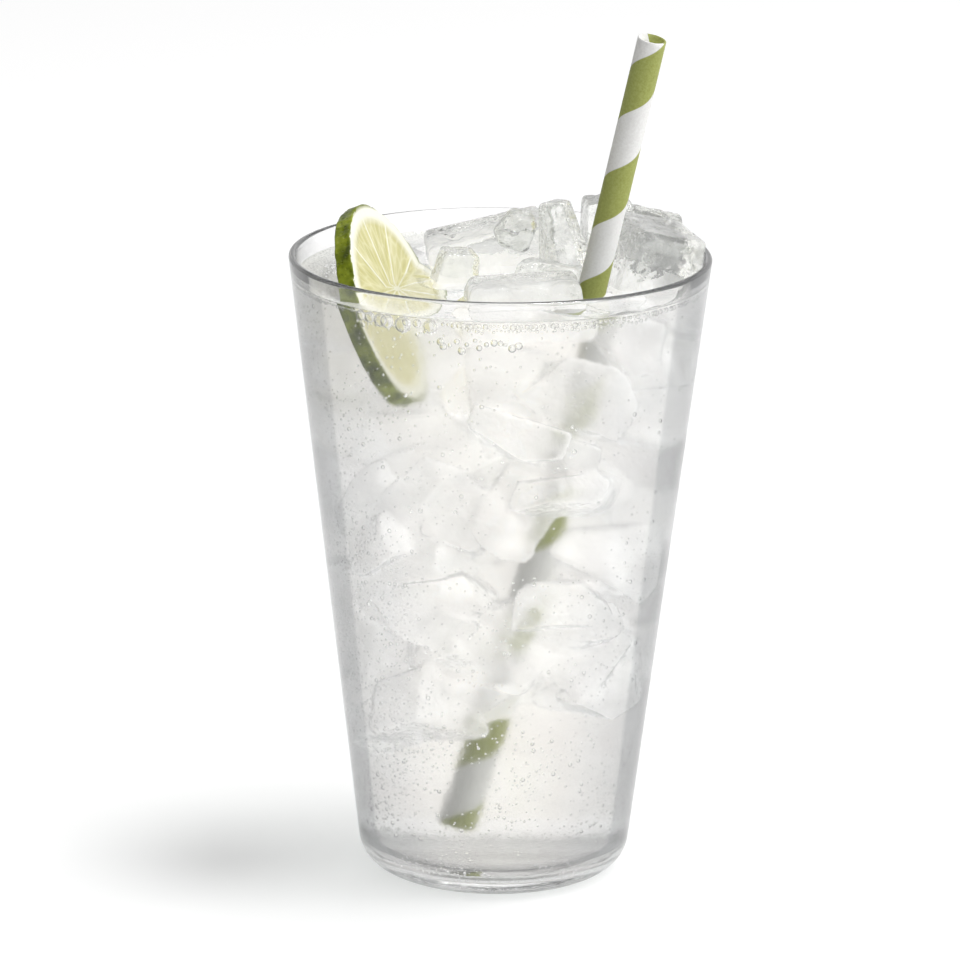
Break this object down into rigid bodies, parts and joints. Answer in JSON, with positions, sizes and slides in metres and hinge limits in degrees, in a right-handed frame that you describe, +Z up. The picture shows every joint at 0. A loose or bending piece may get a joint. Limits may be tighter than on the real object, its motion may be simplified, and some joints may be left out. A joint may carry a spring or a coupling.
{
  "type": "glass of iced soda",
  "caption": "Tall tapered tumbler of clear soda with ice standing above the surface, a lime slice against the wall and a striped paper straw.",
  "frame": {"origin": "middle of the glass's foot on the table plane, on the glass's axis", "axes": "+Z up along the glass's axis, -Y towards the front, +X to the right, the way the straw leans"},
  "size_m": [0.0898, 0.0898, 0.1864],
  "materials": {
    "glass": "clear pressed soda-lime glass, fire-polished rim",
    "drink": "clear sparkling water with fine bubbles",
    "ice": "wet melting ice, clear at the edges, cloudy inside",
    "lime": "moist cut flesh, white pith, glossy dimpled green rind",
    "straw": "white wound paper with spiral light green stripes, matte"
  },
  "bodies": {
    "root": {"glass": "glass", "drink": "drink", "straw": "straw", "lime_slice": "lime", "ice_slab": "ice", "ice_peak": "ice", "ice_post": "ice", "ice_block": "ice", "ice_front": "ice", "ice_middle": "ice", "ice_flake": "ice", "ice_small": "ice", "ice_chip": "ice"}
  },
  "joints": []
}
